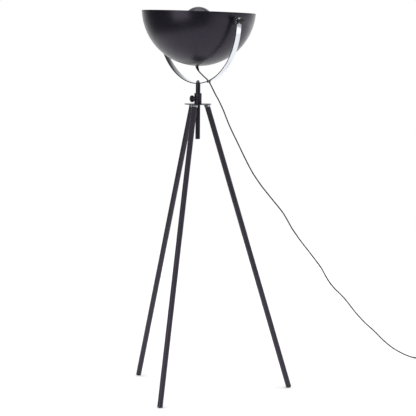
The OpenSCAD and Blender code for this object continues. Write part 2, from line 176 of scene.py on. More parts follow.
# The lights: a wide overhead sun, and softboxes as (name, degrees right of the camera, width, radiance)
OVERHEAD = 2.5
OVERHEAD_SPREAD = 70
SOFTBOXES = (("left_softbox", -36, 2.2, 2.4), ("right_softbox", 33, 1.2, 0.2))
SOFTBOX_H = 2.0
SOFTBOX_AWAY = 3.6
SOFTBOX_UP = 1.3


# ---------------------------------------------------------------- camera
def make_camera():
    """A long lens at shade height, tipped down a little, with the clamp knob to the left of the pole."""
    azimuth = math.radians(CAMERA_AZIMUTH)
    pitch = math.radians(CAMERA_PITCH)
    roll = math.radians(CAMERA_ROLL)
    ahead = Vector((-math.sin(azimuth), math.cos(azimuth), 0))
    right = Vector((math.cos(azimuth), math.sin(azimuth), 0))
    forward = ahead * math.cos(pitch) + Vector((0, 0, math.sin(pitch)))
    up = right.cross(forward)
    right_rolled = right * math.cos(roll) + up * math.sin(roll)
    up_rolled = up * math.cos(roll) - right * math.sin(roll)
    data = bpy.data.cameras.new("camera")
    data.sensor_width = 36
    data.lens = CAMERA_LENS
    data.clip_end = 60
    camera = bpy.data.objects.new("camera", data)
    axes = Matrix((right_rolled, up_rolled, -forward)).transposed()
    camera.matrix_world = Matrix.Translation(POLE + Vector(CAMERA_PLACE)) @ axes.to_4x4()
    bpy.context.scene.collection.objects.link(camera)
    bpy.context.scene.camera = camera


# ---------------------------------------------------------------- mesh tools
def add_mesh(name, points, faces, sharp_deg=32):
    """A smooth-shaded mesh object whose edges stay sharp where its faces meet at more than sharp_deg."""
    mesh = bpy.data.meshes.new(name)
    mesh.from_pydata([tuple(p) for p in points], [], faces)
    mesh.polygons.foreach_set("use_smooth", [True] * len(mesh.polygons))
    mesh.set_sharp_from_angle(angle=math.radians(sharp_deg))
    mesh.validate()
    obj = bpy.data.objects.new(name, mesh)
    bpy.context.scene.collection.objects.link(obj)
    return obj


def fillet(outline, steps=6):
    """An open outline of (x, y) or (x, y, corner radius), with each given corner turned into an arc."""
    result = []
    for i, point in enumerate(outline):
        here = Vector(point[:2])
        if len(point) < 3 or i in (0, len(outline) - 1):
            result.append(here)
            continue
        before = (Vector(outline[i - 1][:2]) - here).normalized()
        after = (Vector(outline[i + 1][:2]) - here).normalized()
        half = before.angle(after) / 2
        reach = point[2] / math.tan(half)
        centre = here + (before + after).normalized() * (point[2] / math.sin(half))
        start, end = here + before * reach - centre, here + after * reach - centre
        turn = start.angle_signed(end)
        for k in range(steps + 1):
            result.append(centre + Matrix.Rotation(-turn * k / steps, 2) @ start)
    return result


def arc(centre, radius, start_deg, end_deg, steps):
    """Points (x, y) along a circle's arc, both its ends included."""
    angles = [math.radians(start_deg + (end_deg - start_deg) * k / steps) for k in range(steps + 1)]
    return [(centre[0] + radius * math.cos(a), centre[1] + radius * math.sin(a)) for a in angles]


def dome(top, radius, reaches):
    """Points (reach, height) on a shallow dome of the given radius whose highest point is at top."""
    return [(r, top - radius + math.sqrt(radius ** 2 - r ** 2)) for r in reaches]


def lathe(name, outline_mm, place, segments=72, closed=False):
    """The outline of (radius, height) in millimetres turned about place's own Z axis."""
    rows = [(max(p[0], 0) * MM, p[1] * MM) for p in outline_mm]
    points, faces, starts = [], [], []
    for r, z in rows:
        starts.append(len(points))
        count = 1 if r < 1e-7 else segments
        for k in range(count):
            a = math.tau * k / segments
            points.append(place @ Vector((r * math.cos(a), r * math.sin(a), z)))
    pairs = list(zip(range(len(rows)), range(1, len(rows))))
    if closed:
        pairs.append((len(rows) - 1, 0))
    for i, j in pairs:
        a_one, b_one = rows[i][0] < 1e-7, rows[j][0] < 1e-7
        for k in range(segments):
            n = (k + 1) % segments
            a0, a1 = starts[i] + (0 if a_one else k), starts[i] + (0 if a_one else n)
            b0, b1 = starts[j] + (0 if b_one else k), starts[j] + (0 if b_one else n)
            face = [a0, a1, b1, b0]
            if a_one:
                face = [a0, b1, b0]
            if b_one:
                face = [a0, a1, b0]
            if not (a_one and b_one):
                faces.append(face)
    return add_mesh(name, points, faces)


def loft(name, rings, sharp_deg=32, loop=False):
    """A solid through rings of equal point counts, capped at both ends or closed into a loop."""
    count = len(rings[0])
    points = [p for ring in rings for p in ring]
    faces = []
    for i in range(len(rings) if loop else len(rings) - 1):
        j = (i + 1) % len(rings)
        for k in range(count):
            n = (k + 1) % count
            faces.append([i * count + k, i * count + n, j * count + n, j * count + k])
    if not loop:
        faces.append(list(range(count))[::-1])
        faces.append([(len(rings) - 1) * count + k for k in range(count)])
    return add_mesh(name, points, faces, sharp_deg)


def stadium(length, width, corner, z):
    """A rounded rectangle about the Z axis, with points along its straight sides too."""
    half_l, half_w = length / 2 - corner, width / 2 - corner
    points = []
    for sx, sy, turn, side in ((1, 1, 0, 14), (-1, 1, 90, 6), (-1, -1, 180, 14), (1, -1, 270, 6)):
        bend = [math.radians(turn + 90 * k / 8) for k in range(9)]
        points += [(sx * half_l + corner * math.cos(a), sy * half_w + corner * math.sin(a), z) for a in bend]
        x, y, z = points[-1]
        gap = (-2 * sx * half_l, 0) if side == 14 else (0, -2 * sy * half_w)
        points += [(x + gap[0] * k / side, y + gap[1] * k / side, z) for k in range(1, side)]
    return points


def placed(place, points_mm):
    """Points in millimetres brought into the scene through place's matrix."""
    return [place @ (Vector(p) * MM) for p in points_mm]


def smooth_path(points, steps=4):
    """A smooth curve through the points, with steps pieces between each two."""
    result = []
    for i in range(len(points) - 1):
        p0, p1, p2 = points[max(i - 1, 0)], points[i], points[i + 1]
        p3 = points[min(i + 2, len(points) - 1)]
        for k in range(steps):
            t = k / steps
            result.append(0.5 * (2 * p1 + (p2 - p0) * t + (2 * p0 - 5 * p1 + 4 * p2 - p3) * t * t
                                 + (3 * p1 - p0 - 3 * p2 + p3) * t ** 3))
    result.append(points[-1])
    return result


def tube(name, path, radius, sides=16):
    """A round tube along the path, its rings carried along without twisting."""
    rings = []
    across = None
    for i, point in enumerate(path):
        way = (path[min(i + 1, len(path) - 1)] - path[max(i - 1, 0)]).normalized()
        if across is None:
            across = way.cross(Vector((0, 0, 1)) if abs(way.z) < 0.9 else Vector((0, 1, 0)))
        across = (across - way * across.dot(way)).normalized()
        other = way.cross(across)
        turns = [math.tau * k / sides for k in range(sides)]
        rings.append([point + radius * (math.cos(a) * across + math.sin(a) * other) for a in turns])
    return loft(name, rings, sharp_deg=60)


# ---------------------------------------------------------------- lead
# The lead's course, measured from the foot of the pole's axis: from the bowl through the yoke's grommet,
# down through the air to the coil on the floor, from the coil to the switch, and from the switch to the plug
UPPER_MM = [
    (10, -6.7, 1311), (11.8, -6.7, 1308.8), (13.8, -6.7, 1306.9), (16, -6.5, 1305.3),
    (24, -6, 1299.8), (33, -5.3, 1293.9), (42, -4.6, 1288.1), (51, -3.9, 1282.7),
    (59.6, -3.2, 1277.5), (61.9, -2.9, 1275.9), (64, -2.4, 1274), (65.9, -1.7, 1271.9),
    (67.5, -0.8, 1269.7), (68.9, 0.3, 1267.4), (69.8, 1.6, 1265.1), (70.5, 3, 1262.7),
]
RUN_MM = [
    (70.5, 3, 1262.7), (70.8, 4.6, 1260.3), (70.8, 6.2, 1257.9), (70.1, 11, 1251.3), (69, 19, 1240.2),
    (67.8, 28.5, 1227), (66.5, 40, 1211), (64.4, 54, 1194), (63, 82, 1150), (61, 118, 1084),
    (60, 166, 1008), (60, 206, 944), (59, 248, 884), (60, 296, 828), (61, 350, 774),
    (60, 408, 718), (58, 440, 680), (57, 470, 640), (57, 516, 588), (58, 578, 524),
    (57, 634, 466), (56, 656, 438), (55, 680, 406), (55, 714, 370), (56, 770, 324),
    (55, 808, 288), (54, 850, 246), (53, 908, 196), (54, 966, 152), (53, 998, 126),
    (52, 1034, 98), (51, 1082, 66), (50, 1140, 36), (50, 1190, 15), (50, 1222, 6),
    (50, 1240, 3), (50, 1254, 2.8),
]
TAIL_MM = [(96, 1296, 18.6), (108, 1296, 15), (120, 1296, 11.2), (131, 1296, 9), (140, 1296, 9)]
END_MM = [
    (218, 1296, 9), (225, 1296, 8.6), (234.2, 1294.2, 6.6), (242, 1289, 4.4), (247.2, 1281.2, 3.2),
    (249, 1272, 3), (249, 1264, 3.8), (249, 1256.5, 5.4), (249, 1250, 6.6), (249, 1245, 6.85),
]
# The points of RUN_MM that make the stretch at the yoke, the last one being where the rest starts
SWIVEL_POINTS = 14


def from_pole(points_mm):
    """Points in millimetres from the foot of the pole's axis, as scene points."""
    return [POLE + Vector(p) * MM for p in points_mm]


def coil_mm():
    """The spare length: turns one on another, from the coil's left side to its far side."""
    count = int(COIL_TURNS * 28)
    points = []
    for k in range(count + 1):
        a = math.pi - math.tau * COIL_TURNS * k / count
        height = LEAD_R + 0.2 + COIL_PITCH * COIL_TURNS * k / count
        points.append((COIL_AT[0] + COIL_R * math.cos(a), COIL_AT[1] + COIL_R * math.sin(a), height))
    return points


def lay_lead(name, path, steps=4):
    """One stretch of the lead as a round tube, smoothed between its points unless steps is 1."""
    line = smooth_path(path, steps)
    obj = tube(name, line, LEAD_R * MM)
    obj.data.materials.append(MATERIALS["lead_sheath"])
    return obj


def make_lead():
    """The lead in five stretches, of which the coil and the end move with the tripod."""
    start = from_pole(UPPER_MM)
    run = from_pole(RUN_MM)
    upper = lay_lead("lead_at_bowl", start)
    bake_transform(upper)
    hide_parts("lead_upper")
    top = lay_lead("lead_at_yoke", run[:SWIVEL_POINTS])
    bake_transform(top)
    hanging = lay_lead("lead_hanging", run[SWIVEL_POINTS - 1:])
    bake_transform(hanging)
    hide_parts("lead_run")
    coil = lay_lead("lead_coiled", from_pole(RUN_MM[-1:] + coil_mm() + TAIL_MM),
                    steps=1)
    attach(coil, "tripod")
    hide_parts("lead_coil", "lead_tail")
    end = lay_lead("lead_to_plug", from_pole(END_MM))
    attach(end, "tripod")
    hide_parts("lead_end")


# ---------------------------------------------------------------- materials
class Nodes:
    """A new node material with its Principled shader and a few short ways to wire it."""

    MIDDLE = (0.3, 0.7)

    def __init__(self, name):
        self.material = bpy.data.materials.new(name)
        self.material.use_nodes = True
        self.tree = self.material.node_tree
        self.shader = self.tree.nodes["Principled BSDF"]
        self.place = self.add("ShaderNodeTexCoord").outputs["Object"]

    def add(self, kind, **values):
        node = self.tree.nodes.new(kind)
        for key, value in values.items():
            if key in node.inputs:
                node.inputs[key].default_value = value
            else:
                setattr(node, key, value)
        return node

    def link(self, out, into):
        self.tree.links.new(out, into)

    def set(self, **values):
        for key, value in values.items():
            self.shader.inputs[key.replace("_", " ")].default_value = value

    def noise(self, scale, detail=3.0):
        """Fractal noise over the object's own space, scale in features per metre."""
        node = self.add("ShaderNodeTexNoise", Scale=scale, Detail=detail, Roughness=0.55)
        self.link(self.place, node.inputs["Vector"])
        return node.outputs["Fac"]

    def spread(self, source, low, high):
        """The source's middle range stretched to run from low to high."""
        node = self.add("ShaderNodeMapRange")
        node.inputs["From Min"].default_value = self.MIDDLE[0]
        node.inputs["From Max"].default_value = self.MIDDLE[1]
        node.inputs["To Min"].default_value = low
        node.inputs["To Max"].default_value = high
        self.link(source, node.inputs["Value"])
        return node.outputs["Result"]

    def colours(self, source, first, second):
        """The base colour, going from first to second over the source's middle range."""
        ramp = self.add("ShaderNodeValToRGB")
        for element, position, colour in zip(ramp.color_ramp.elements, self.MIDDLE, (first, second)):
            element.position = position
            element.color = (*colour, 1)
        self.link(source, ramp.inputs["Fac"])
        self.link(ramp.outputs["Color"], self.shader.inputs["Base Color"])

    def bump(self, *layers):
        """Layers of (source, height in metres, strength), one bump on another."""
        normal = None
        for source, height, strength in layers:
            node = self.add("ShaderNodeBump", Distance=height, Strength=strength)
            self.link(source, node.inputs["Height"])
            if normal is not None:
                self.link(normal, node.inputs["Normal"])
            normal = node.outputs["Normal"]
        self.link(normal, self.shader.inputs["Normal"])


def powder_coat(name, dark, light, low, high):
    """Satin powder coat: a fine orange peel with small specks in it."""
    m = Nodes(name)
    m.colours(m.noise(14, 4), dark, light)
    m.link(m.spread(m.noise(60, 3), low, high), m.shader.inputs["Roughness"])
    m.bump((m.noise(420, 2), 0.00012, 0.25), (m.noise(2600, 2), 0.00003, 0.25))
    m.set(Specular_IOR_Level=0.42, Specular_Tint=(0.86, 0.78, 1.0, 1))
    return m.material


def moulded_plastic(name, dark, light, low, high, grain=1800, specular=0.5):
    """Moulded plastic with a fine spark-eroded grain."""
    m = Nodes(name)
    m.colours(m.noise(30, 3), dark, light)
    m.link(m.spread(m.noise(90, 3), low, high), m.shader.inputs["Roughness"])
    m.bump((m.noise(grain, 3), 0.00003, 0.4))
    m.set(Specular_IOR_Level=specular)
    return m.material


def polished_metal(name, dark, light, low, high):
    """Plated metal: nearly a mirror, with faint wipe marks and a slow waviness."""
    m = Nodes(name)
    m.colours(m.noise(25, 4), dark, light)
    m.link(m.spread(m.noise(140, 5), low, high), m.shader.inputs["Roughness"])
    m.bump((m.noise(18, 1), 0.0002, 0.06), (m.noise(900, 4), 0.00001, 0.12))
    m.set(Metallic=1.0)
    return m.material


def zinc_plate(name):
    """Bright zinc plate: a soft metal gloss with a mottled crystal tint."""
    m = Nodes(name)
    cells = m.add("ShaderNodeTexVoronoi", Scale=500.0)
    m.link(m.place, cells.inputs["Vector"])
    m.colours(cells.outputs["Distance"], (0.42, 0.42, 0.45), (0.58, 0.58, 0.6))
    m.link(m.spread(m.noise(120, 3), 0.26, 0.4), m.shader.inputs["Roughness"])
    m.bump((m.noise(1200, 3), 0.00003, 0.3))
    m.set(Metallic=1.0)
    return m.material


def bowl_lining(name):
    """The bowl's inside: soft white reflector lacquer."""
    m = Nodes(name)
    m.colours(m.noise(9, 4), (0.70, 0.69, 0.67), (0.76, 0.75, 0.73))
    m.link(m.spread(m.noise(50, 3), 0.36, 0.48), m.shader.inputs["Roughness"])
    m.bump((m.noise(500, 2), 0.0001, 0.3))
    return m.material


def glazed_ceramic(name):
    """Cream steatite with a clear glaze."""
    m = Nodes(name)
    m.colours(m.noise(60, 3), (0.74, 0.71, 0.64), (0.8, 0.78, 0.72))
    m.link(m.spread(m.noise(80, 2), 0.12, 0.22), m.shader.inputs["Roughness"])
    m.bump((m.noise(300, 2), 0.0001, 0.2))
    return m.material


def opal_glass(name):
    """A bulb's etched glass, which hides what is inside it."""
    m = Nodes(name)
    m.colours(m.noise(12, 2), (0.84, 0.84, 0.81), (0.9, 0.9, 0.87))
    m.link(m.spread(m.noise(200, 3), 0.25, 0.34), m.shader.inputs["Roughness"])
    m.bump((m.noise(900, 2), 0.00002, 0.2))
    m.set(Coat_Weight=0.35, Coat_Roughness=0.12)
    return m.material


MATERIALS = {
    "black_steel": powder_coat("black_steel", (0.0075, 0.0068, 0.0108), (0.0098, 0.0088, 0.0138), 0.27, 0.34),
    "leg_coat": powder_coat("leg_coat", (0.025, 0.021, 0.029), (0.033, 0.028, 0.038), 0.34, 0.42),
    "polished_steel": polished_metal("polished_steel", (0.68, 0.70, 0.75), (0.75, 0.77, 0.81), 0.05, 0.10),
    # Painted shade: a dark paint for the yoke's edges, standing in for the dark reflections on its chrome edges
    "painted_shade_edge": powder_coat("painted_shade_edge", (0.008, 0.008, 0.009), (0.013, 0.013, 0.014), 0.42, 0.5),
    "zinc_steel": zinc_plate("zinc_steel"),
    "black_plastic": moulded_plastic("black_plastic", (0.010, 0.010, 0.012), (0.015, 0.0145, 0.017),
                                     0.24, 0.34),
    "black_rubber": moulded_plastic("black_rubber", (0.010, 0.010, 0.011), (0.016, 0.016, 0.017),
                                    0.55, 0.68, grain=900),
    "lead_sheath": moulded_plastic("lead_sheath", (0.010, 0.0095, 0.012), (0.015, 0.0145, 0.018),
                                   0.52, 0.62, grain=1400, specular=0.12),
    "ceramic": glazed_ceramic("ceramic"),
    "brass": polished_metal("brass", (0.68, 0.49, 0.2), (0.78, 0.59, 0.29), 0.18, 0.3),
    "nickel": polished_metal("nickel", (0.62, 0.61, 0.58), (0.72, 0.70, 0.67), 0.14, 0.24),
    "opal_glass": opal_glass("opal_glass"),
    "bowl_lining": bowl_lining("bowl_lining"),
}
SLOT_OF = {s["node"]: s["material_slot"] for s in frame["record"]["subparts"]}


def dress_cad_nodes():
    """Each CAD node gets its own slot's material."""
    for node, obj in frame["nodes"].items():
        obj.data.materials.clear()
        obj.data.materials.append(MATERIALS[SLOT_OF[node]])


def finish_piece(obj, slot, body, *nodes):
    """The piece's material, the body that it moves with and the CAD nodes that it stands in for."""
    obj.data.materials.append(MATERIALS[slot])
    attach(obj, body)
    if nodes:
        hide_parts(*nodes)
    return obj


# ---------------------------------------------------------------- shade
def make_bowl():
    """A spun bowl with a rolled hem, black outside and white inside."""
    hem_low = RIM_UP - HEM_H
    start = math.degrees(math.asin((BOWL_CENTRE - hem_low) / BOWL_R))
    outside = arc((0, BOWL_CENTRE), BOWL_R, -90, -start, 72)
    inside = arc((0, BOWL_CENTRE), BOWL_R - BOWL_WALL, -start, -90, 72)
    outer = BOWL_R + 0.2
    inner = BOWL_R - HEM_T
    hem = fillet([(outside[-1][0], hem_low), (outer, hem_low + 0.2, 0.15), (outer, RIM_UP, 1.2),
                  (inner, RIM_UP, 1.2), (inner, hem_low + 0.1, 0.8), (inside[0][0], hem_low + 0.1)], 5)
    bowl = lathe("bowl", outside[:-1] + [tuple(p) for p in hem] + inside[1:], SHADE, 192)
    bowl.data.materials.append(MATERIALS["black_steel"])
    bowl.data.materials.append(MATERIALS["bowl_lining"])
    centre = SHADE @ Vector((0, 0, BOWL_CENTRE * MM))
    for face in bowl.data.polygons:
        faces_out = (face.center - centre).dot(face.normal) > 0
        under_hem = (SHADE.inverted() @ face.center).z < (hem_low + 0.4) * MM
        face.material_index = 1 if under_hem and not faces_out else 0
    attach(bowl, "shade")
    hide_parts("shade_bowl")


def make_shield():
    """The bulb's shield: a spun dome with a rolled edge."""
    top, low = SHIELD_UP, SHIELD_UP - SHIELD_SKIRT
    hem_top, hem_inner, hem_outer = low + SHIELD_HEM, SHIELD_R - 1.8, SHIELD_R + 0.2
    outside = [(SHIELD_R, hem_top)] + arc((0, top), SHIELD_R, 0, 90, 36)
    inside = arc((0, top), SHIELD_R - 1, 90, 0, 36)
    hem = fillet([(SHIELD_R - 1, hem_top), (hem_inner, hem_top - 0.2, 0.3), (hem_inner, low, 0.9),
                  (hem_outer, low, 0.9), (hem_outer, hem_top - 0.2, 0.3), (SHIELD_R, hem_top)], 4)
    shield = lathe("shield", outside + inside + [tuple(p) for p in hem[:-1]], SHADE, 96, closed=True)
    finish_piece(shield, "black_steel", "shade", "shield_dome")


def pivot_place(side):
    """The pivot's axis as +Z, pointing out of the bowl to its right (1) or left (-1)."""
    return SHADE @ Matrix.Rotation(math.radians(90 * side), 4, "Y")


def seat_on_bowl(cup):
    """Moves the cup's inner edge onto the bowl's curved wall, 0.3 mm into it."""
    for vertex in cup.data.vertices:
        local = SHADE.inverted() @ vertex.co
        if abs(local.x) < (CUP_IN + 8) * MM:
            reach = math.sqrt((BOWL_R * MM) ** 2 - local.y ** 2 - (local.z - BOWL_CENTRE * MM) ** 2)
            local.x = math.copysign(reach - 0.3 * MM, local.x)
            vertex.co = SHADE @ local


def make_pivots():
    """On each side: a cup against the bowl, a spacer and a hand knob."""
    for side, word in ((1, "right"), (-1, "left")):
        place = pivot_place(side)
        cup_outline = [(PIVOT_BORE_R, CUP_OUT), (CUP_R, CUP_OUT, 1.0), (CUP_R, CUP_OUT - 3), (CUP_R, CUP_IN)]
        cup = lathe(f"cup_{word}", fillet(cup_outline, 4), place, 96)
        seat_on_bowl(cup)
        finish_piece(cup, "black_plastic", "shade")
        spacer_outline = [(PIVOT_BORE_R, CUP_OUT), (SPACER_R, CUP_OUT, 0.8),
                          (SPACER_R, SPACER_OUT, 0.8), (PIVOT_BORE_R, SPACER_OUT)]
        spacer = lathe(f"spacer_{word}", fillet(spacer_outline, 4), place, 96)
        finish_piece(spacer, "polished_steel", "shade")
        knob_start = Matrix.Translation((0, 0, PIVOT_KNOB_OUT * MM))
        knob = lathe(f"knob_{word}", knob_outline(7, 12, 6.5), place @ knob_start, 96)
        finish_piece(knob, "black_plastic", f"pivot_knob_{word}", f"pivot_knob_{word}")
    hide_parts("pivot_cups")
    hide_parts("pivot_spacers")


def knob_outline(neck_r, neck_h, disc_h):
    """A hand knob along +Z from its neck's end: a disc with round edges and a domed face."""
    top = neck_h + disc_h
    edge = fillet([(4.2, 0), (neck_r, 0, 0.5), (neck_r, neck_h, 0.8), (KNOB_R, neck_h, 2.6),
                   (KNOB_R, top, 2.8), (10.9, top, 0.8), (10.4, top + 0.2)], 6)
    face = dome(top + KNOB_FACE_UP, KNOB_FACE_R, (9.6, 8, 6, 4, 2, 0))
    return [tuple(p) for p in edge] + face


def make_boot():
    """The gland's collar and the ribbed strain relief of the lead."""
    collar = lathe("gland", fillet([(5, BOWL_LOW + 0.3), (6.6, BOWL_LOW + 0.3), (6.6, BOWL_LOW - 4, 0.8),
                                    (3, BOWL_LOW - 4)], 4), SHADE, 64)
    finish_piece(collar, "black_plastic", "shade", "gland_collar")
    lean = Matrix.Rotation(math.radians(180 - BOOT_LEAN), 4, "Y")
    place = SHADE @ Matrix.Translation((0, 0, (BOWL_LOW - 4) * MM)) @ lean
    outline = [(2.5, -2.4), (BOOT_R, -2.4)]
    pitch = (BOOT_L - 3) / BOOT_RIBS
    for k in range(BOOT_RIBS):
        low = 1.5 + pitch * k
        high = low + 0.62 * pitch
        after = low + pitch
        for z, inset in ((low, 0.0), (high, 0.0), (high + 0.2, 0.45), (after - 0.2, 0.45)):
            outline.append((BOOT_R - 1.9 * z / BOOT_L - inset, z))
    outline += [(4.0, BOOT_L - 1), (4.0, BOOT_L - 0.4), (3.6, BOOT_L), (2.62, BOOT_L)]
    boot = lathe("strain_relief", outline, place, 48)
    finish_piece(boot, "black_rubber", "shade", "lead_boot")


# ---------------------------------------------------------------- yoke and hub
def make_yoke():
    """A flat strip bent to a half ring, its ends widened to round ears, with painted shade on its edges: dark
    edges that stand in for the dark reflections the chrome shows there.
    """
    corner, corner_steps = 0.5, 3
    half = YOKE_W / 2
    straight = math.sqrt(EAR_R ** 2 - half ** 2)
    quarter = math.pi / 2 * YOKE_R
    ear = [quarter - straight + (EAR_R + straight) * math.sin(math.pi / 2 * k / 24) for k in range(25)]
    bend = [quarter - straight - (quarter - straight) * k / 110 for k in range(1, 111)]
    run = sorted(set(ear + bend))
    run = [-s for s in run[::-1] if s > 0] + [0.0] + [s for s in run if s > 0]
    rings = []
    for s in run:
        up = abs(s) - quarter
        wide = half if up < -straight else math.sqrt(max(EAR_R ** 2 - up ** 2, 0.04))
        a = min(abs(s), quarter) / YOKE_R
        out = Vector((math.copysign(math.sin(a), s), 0, -math.cos(a)))
        base = PIVOT + out * YOKE_R * MM + Vector((0, 0, max(up, 0) * MM))
        ring = []
        for sx, sy, turn in ((1, 1, 0), (-1, 1, 90), (-1, -1, 180), (1, -1, 270)):
            r = min(corner, wide * 0.9)
            for k in range(corner_steps + 1):
                t = math.radians(turn + 90 * k / corner_steps)
                side = sx * (wide - r) + r * math.cos(t)
                thick = sy * (YOKE_T / 2 - r) + r * math.sin(t)
                ring.append(base + Vector((0, side, 0)) * MM + out * thick * MM)
        rings.append(ring)
    yoke = loft("yoke", rings, 40)
    finish_piece(yoke, "polished_steel", "yoke", "yoke_strip")
    yoke.data.materials.append(MATERIALS["painted_shade_edge"])
    # The edge faces take the painted shade, in place of the dark reflections on the chrome edges
    for face in yoke.data.polygons:
        out = Vector((face.center.x - PIVOT.x, 0, min(face.center.z - PIVOT.z, 0))).normalized()
        face.material_index = 1 if abs(face.normal.dot(out)) < 0.8 else 0


def make_grommet():
    """The rubber ring in the yoke's hole that the lead goes through."""
    place = Matrix.Translation(PIVOT) @ Matrix.Rotation(math.pi - math.asin(LEAD_HOLE_X / YOKE_R), 4, "Y")
    place = place @ Matrix.Translation((0, 0, YOKE_R * MM))
    outline = fillet([(4.6, -3.5), (8, -3.5, 0.6), (8, -2.1), (5.5, -2.1),
                      (5.5, 2.1), (8, 2.1), (8, 3.5, 0.6), (4.6, 3.5)], 4)
    grommet = lathe("grommet", outline, place, 64, closed=True)
    finish_piece(grommet, "black_rubber", "yoke", "lead_grommet")


def make_hub():
    """The round plate that carries the legs, and the knob that clamps the pole."""
    outline = [(PLATE_BORE_R, 0), (PLATE_R, 0, 0.8), (PLATE_R, PLATE_T, 0.8), (PLATE_BORE_R, PLATE_T)]
    plate = lathe("plate", fillet(outline, 4), Matrix.Translation((POLE.x, 0, PLATE_Z)), 144, closed=True)
    finish_piece(plate, "black_steel", "tripod", "hub_plate")
    boss = Matrix.Translation((POLE.x, 0, middle("clamp_boss").z))
    turn = Matrix.Rotation(math.radians(CLAMP_TURN), 4, "Z") @ Matrix.Rotation(math.pi / 2, 4, "Y")
    place = boss @ turn @ Matrix.Translation((0, 0, CLAMP_KNOB_OUT * MM))
    knob = lathe("height_knob", knob_outline(8, 4, 9), place, 96)
    finish_piece(knob, "black_plastic", "clamp_knob", "clamp_knob")


def make_acorn():
    """The cap nut on the yoke's stud: a chamfered hexagon under a low polished dome."""
    place = Matrix.Translation((POLE.x, 0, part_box("acorn_nut")[0].z))
    cap = lathe("acorn_dome", [(6.4, 4.2)] + arc((0, 1.5), 7.5, 30, 90, 12), place, 64)
    finish_piece(cap, "polished_steel", "pole")
    corners = [math.radians(60 * k) for k in range(6)]
    rings = []
    for r, z in ((7.6, 0.0), (8.08, 0.35), (8.08, 4.6), (7.5, 5.0)):
        rings.append(placed(place, [(r * math.cos(a), r * math.sin(a), z) for a in corners]))
    hexagon = loft("acorn_hexagon", rings, 20)
    finish_piece(hexagon, "polished_steel", "pole", "acorn_nut")


# ---------------------------------------------------------------- switch and plug
def switch_ring(place, inset, z):
    """The switch's outline at height z, inset from its widest."""
    length, width = SWITCH_SIZE
    return placed(place, stadium(length - 2 * inset, width - 2 * inset, SWITCH_CORNER - inset, z))


def make_switch():
    """The foot switch: two moulded halves with a parting line, and a round button in its hole."""
    place = Matrix.Translation(POLE + Vector((*SWITCH_AT, 0)) * MM)
    base = ((1.6, 0.0), (0.5, 0.4), (0.0, 1.4), (0.0, 8.4), (0.35, 8.75), (2.0, 8.75), (2.0, 2.0))
    rings = [switch_ring(place, inset, z) for inset, z in base]
    finish_piece(loft("switch_base_shell", rings), "black_plastic", "tripod", "switch_base")

    top = ((2.0, 9.05), (0.35, 9.05), (0.0, 9.4), (0.0, 17.6), (0.4, 18.6), (1.3, 19.2), (2.7, 19.5),
           (3.2, 20.0), (3.4, 21.0), (3.9, 21.7), (4.8, 22.0))
    rings = [switch_ring(place, inset, z) for inset, z in top]
    length, width = SWITCH_SIZE
    crown_in = top[-1][0]
    crown = stadium(length - 2 * crown_in, width - 2 * crown_in, SWITCH_CORNER - crown_in, 0)
    hole = ((1.3, 22.0), (0.4, 21.8), (0.0, 21.4), (0.0, 17.0))
    for wider, z in hole:
        scales = [(BUTTON_HOLE_R + wider) / math.hypot(x, y) for x, y, _ in crown]
        rings.append(placed(place, [(x * scale, y * scale, z) for (x, y, _), scale in zip(crown, scales)]))
    rings.append(switch_ring(place, 2.0, 17.0))
    finish_piece(loft("switch_top_shell", rings, loop=True), "black_plastic", "tripod", "switch_cover")

    side = fillet([(0, 15), (11.5, 15, 0.3), (11.5, 16.7, 0.3), (10, 16.7), (10, 25, 1.1), (8.9, 25.2)], 5)
    outline = [tuple(p) for p in side] + dome(26.6, 31.6, (8.4, 6, 4, 2, 0))
    finish_piece(lathe("button", outline, place, 72), "black_plastic", "switch_button", "switch_button")
    make_spring(place)


def make_spring(place):
    """The spring under the button, which the button presses together."""
    steps = 24 * SPRING_TURNS
    turns = [(math.tau * SPRING_TURNS * k / steps, SPRING_H * k / steps) for k in range(steps + 1)]
    wire = [(SPRING_R * math.cos(a), SPRING_R * math.sin(a), SPRING_LOW + up) for a, up in turns]
    coil = tube("return_spring", placed(place, wire), SPRING_WIRE_R * MM, 8)
    spring = finish_piece(coil, "zinc_steel", "tripod", "switch_spring")
    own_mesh(spring)


def make_coil_tie():
    """A rubber strap round the turns that lie one on another at one place of the coil."""
    centre = Matrix.Translation(POLE + Vector((*COIL_AT, 0)) * MM)
    place = centre @ Matrix.Rotation(math.radians(225), 4, "Z") @ Matrix.Translation((COIL_R * MM, 0, 0))
    half = ((2.72, 3.8), (2.9, 4), (3.3, 4), (3.48, 3.8))
    section = half + tuple((reach, -side) for reach, side in half[::-1])
    rings = []
    for height, start in ((18.3, 0), (7.5, 180)):
        for k in range(13):
            a = math.radians(start + 180 * k / 12)
            ring = [(reach * math.cos(a), side, height + reach * math.sin(a)) for reach, side in section]
            rings.append(placed(place, ring))
    finish_piece(loft("coil_strap", rings, 40, loop=True), "black_rubber", "tripod", "coil_tie")


